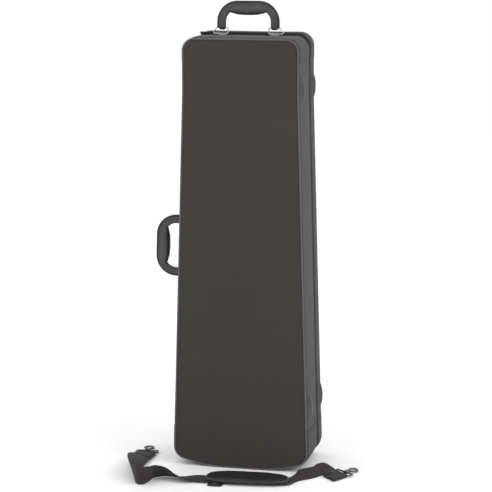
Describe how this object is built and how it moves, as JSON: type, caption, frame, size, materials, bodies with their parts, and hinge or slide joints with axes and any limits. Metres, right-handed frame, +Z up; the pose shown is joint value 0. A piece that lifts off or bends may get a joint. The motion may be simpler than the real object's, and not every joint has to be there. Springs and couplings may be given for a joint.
{
  "type": "violin case",
  "caption": "Tall tapered violin case with a soft fabric cover, hinged lid, end and side carry handles, hinge-side feet, padded inside and an unclipped shoulder strap.",
  "frame": {"origin": "on the floor, at the middle of the flat tail end that the case stands on, half way through its depth", "axes": "+Z up along the case towards its top end, +X towards the hinge side, +Y towards the lid"},
  "size_m": [0.4391, 0.2818, 0.864],
  "materials": {
    "cover_fabric": "woven, matt",
    "panel_fabric": "woven, matt",
    "piping": "satin",
    "shell": "foam and ply laminate",
    "plush": "plush",
    "zip_tape": "woven",
    "zip_coil": "moulded coil",
    "ribbon": "satin ribbon",
    "grip": "smooth, soft",
    "binding": "stitched edge",
    "plated_wire": "polished",
    "foot_plastic": "satin",
    "steel": "satin",
    "slider_metal": "black",
    "pull_rubber": "matt",
    "clip_plastic": "satin",
    "webbing": "twill webbing",
    "pad_skin": "smooth, padded",
    "hook_metal": "dark plated"
  },
  "bodies": {
    "base": {"base_shell": "shell", "base_lining": "plush", "base_panel": "panel_fabric", "base_piping": "piping", "base_tail_band": "cover_fabric", "base_top_band": "cover_fabric", "base_side_bands": "cover_fabric", "base_zip_tape": "zip_tape", "base_zip_coil": "zip_coil", "hinge_strip": "cover_fabric", "accessory_wall": "plush", "neck_cradle": "plush", "tail_cushion": "plush", "waist_cushions": "plush", "top_handle_clips": "plated_wire", "side_handle_clips": "plated_wire", "side_dee_clip": "plated_wire", "base_rivets": "plated_wire", "base_feet": "foot_plastic"},
    "lid": {"lid_shell": "shell", "lid_lining": "plush", "lid_panel": "panel_fabric", "lid_piping": "piping", "lid_tail_band": "cover_fabric", "lid_top_band": "cover_fabric", "lid_side_bands": "cover_fabric", "lid_zip_tape": "zip_tape", "lid_zip_coil": "zip_coil", "lid_feet": "foot_plastic", "lid_studs": "steel", "bow_clip_screws": "steel", "bow_tip_pockets": "plush"},
    "accessory_cover": {"accessory_lid": "plush", "accessory_tab": "ribbon"},
    "neck_strap": {"neck_strap": "ribbon"},
    "top_handle": {"top_handle_grip": "grip", "top_handle_binding": "binding", "top_handle_rings": "plated_wire"},
    "side_handle": {"side_handle_grip": "grip", "side_handle_binding": "binding", "side_handle_rings": "plated_wire"},
    "side_dee": {"side_dee_ring": "plated_wire"},
    "upper_slider": {"upper_slider": "slider_metal"},
    "upper_pull": {"upper_pull": "pull_rubber"},
    "lower_slider": {"lower_slider": "slider_metal"},
    "lower_pull": {"lower_pull": "pull_rubber"},
    "left_bow_clip": {"left_bow_clip": "clip_plastic"},
    "right_bow_clip": {"right_bow_clip": "clip_plastic"},
    "strap": {"strap_webbing": "webbing", "strap_pad": "pad_skin", "strap_end_left": "webbing", "strap_end_right": "webbing", "left_swivel_eye": "hook_metal", "right_swivel_eye": "hook_metal"},
    "strap_adjuster": {"strap_adjuster": "clip_plastic"},
    "left_hook": {"left_hook_body": "hook_metal"},
    "left_gate": {"left_hook_gate": "hook_metal"},
    "right_hook": {"right_hook_body": "hook_metal"},
    "right_gate": {"right_hook_gate": "hook_metal"}
  },
  "joints": [
    {"name": "lid_hinge", "type": "hinge", "parent": "base", "child": "lid", "pos_m": [0.1291, 0.028, 0.017], "axis": [0.0262, 0, -0.9997], "range_deg": [0, 105]},
    {"name": "accessory_cover_hinge", "type": "hinge", "parent": "base", "child": "accessory_cover", "pos_m": [0.0945, 0.0275, 0.7165], "axis": [0, 0, -1], "range_deg": [0, 84]},
    {"name": "neck_strap_turn", "type": "hinge", "parent": "base", "child": "neck_strap", "pos_m": [-0.037, 0.0249, 0.452], "axis": [0, 0, 1], "range_deg": [0, 105]},
    {"name": "top_handle_swing", "type": "hinge", "parent": "base", "child": "top_handle", "pos_m": [-0.003, 0.01, 0.8039], "axis": [1, 0, 0], "range_deg": [-50, 65]},
    {"name": "side_handle_swing", "type": "hinge", "parent": "base", "child": "side_handle", "pos_m": [-0.12078, 0.01, 0.40412], "axis": [0.03, 0, 0.9995], "range_deg": [-65, 65]},
    {"name": "side_dee_swing", "type": "hinge", "parent": "base", "child": "side_dee", "pos_m": [-0.12627, 0.01, 0.22112], "axis": [0.03, 0, 0.9995], "range_deg": [-75, 75]},
    {"name": "upper_slider_travel", "type": "slide", "parent": "base", "child": "upper_slider", "axis": [1, 0, 0], "range_m": [0, 0.138]},
    {"name": "upper_pull_hinge", "type": "hinge", "parent": "upper_slider", "child": "upper_pull", "pos_m": [-0.061, 0.028, 0.802], "axis": [0, -1, 0], "range_deg": [0, 100]},
    {"name": "lower_slider_travel", "type": "slide", "parent": "base", "child": "lower_slider", "axis": [-1, 0, 0], "range_m": [0, 0.007]},
    {"name": "lower_pull_hinge", "type": "hinge", "parent": "lower_slider", "child": "lower_pull", "pos_m": [-0.072, 0.028, 0.802], "axis": [0, 1, 0], "range_deg": [0, 100]},
    {"name": "left_bow_clip_turn", "type": "hinge", "parent": "lid", "child": "left_bow_clip", "pos_m": [-0.038, 0.054, 0.15], "axis": [0, 1, 0], "range_deg": [-90, 90]},
    {"name": "right_bow_clip_turn", "type": "hinge", "parent": "lid", "child": "right_bow_clip", "pos_m": [0.038, 0.054, 0.15], "axis": [0, 1, 0], "range_deg": [-90, 90]},
    {"name": "strap_lift", "type": "slide", "parent": "base", "child": "strap", "axis": [0, 0, 1], "range_m": [0, 0.2]},
    {"name": "strap_adjuster_travel", "type": "slide", "parent": "strap", "child": "strap_adjuster", "axis": [0.9962, 0.0872, 0], "range_m": [0, 0.05]},
    {"name": "left_hook_swivel", "type": "hinge", "parent": "strap", "child": "left_hook", "pos_m": [-0.198, -0.007, 0.0037], "axis": [-0.1219, 0.9925, 0], "continuous": true},
    {"name": "left_gate_hinge", "type": "hinge", "parent": "left_hook", "child": "left_gate", "pos_m": [-0.20361, 0.00384, 0.0037], "axis": [0, 0, -1], "range_deg": [0, 22], "stiffness_Nm_per_rad": 0.02, "springref_deg": -22.92},
    {"name": "right_hook_swivel", "type": "hinge", "parent": "strap", "child": "right_hook", "pos_m": [0.197, -0.055, 0.0037], "axis": [0.6157, 0.788, 0], "continuous": true},
    {"name": "right_gate_hinge", "type": "hinge", "parent": "right_hook", "child": "right_gate", "pos_m": [0.20069, -0.04337, 0.0037], "axis": [0, 0, -1], "range_deg": [0, 22], "stiffness_Nm_per_rad": 0.02, "springref_deg": -22.92}
  ],
  "couplings": [
    {"joint": "accessory_cover_hinge", "follows": "lid_hinge", "ratio": 0.8},
    {"joint": "neck_strap_turn", "follows": "lid_hinge", "ratio": 1}
  ]
}
